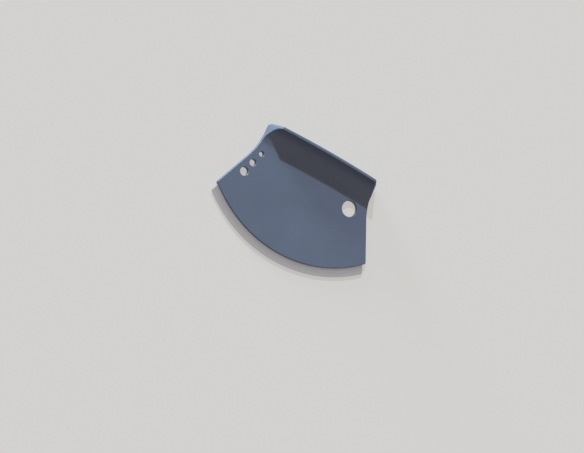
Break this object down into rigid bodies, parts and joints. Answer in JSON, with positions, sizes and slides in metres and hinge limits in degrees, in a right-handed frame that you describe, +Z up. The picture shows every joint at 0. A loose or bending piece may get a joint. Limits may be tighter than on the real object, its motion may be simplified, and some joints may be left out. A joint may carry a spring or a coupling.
{
  "type": "mezzaluna",
  "caption": "Herb-chopping mezzaluna: a curved steel blade moulded into a plastic handle with a palm rest, finger cove, herb stripping holes and a hanging hole.",
  "frame": {"origin": "on the flat rear face, under the middle of the overall outline", "axes": "+X along the blade towards the hanging hole, +Y from the cutting edge towards the palm rest, +Z up, out of the front face"},
  "size_m": [0.1516, 0.1037, 0.02],
  "materials": {
    "handle_plastic": "satin grey-blue moulding with a fine texture",
    "blade_steel": "brushed, with a finer ground bevel along the edge"
  },
  "bodies": {
    "root": {"handle": "handle_plastic", "blade": "blade_steel"}
  },
  "joints": []
}
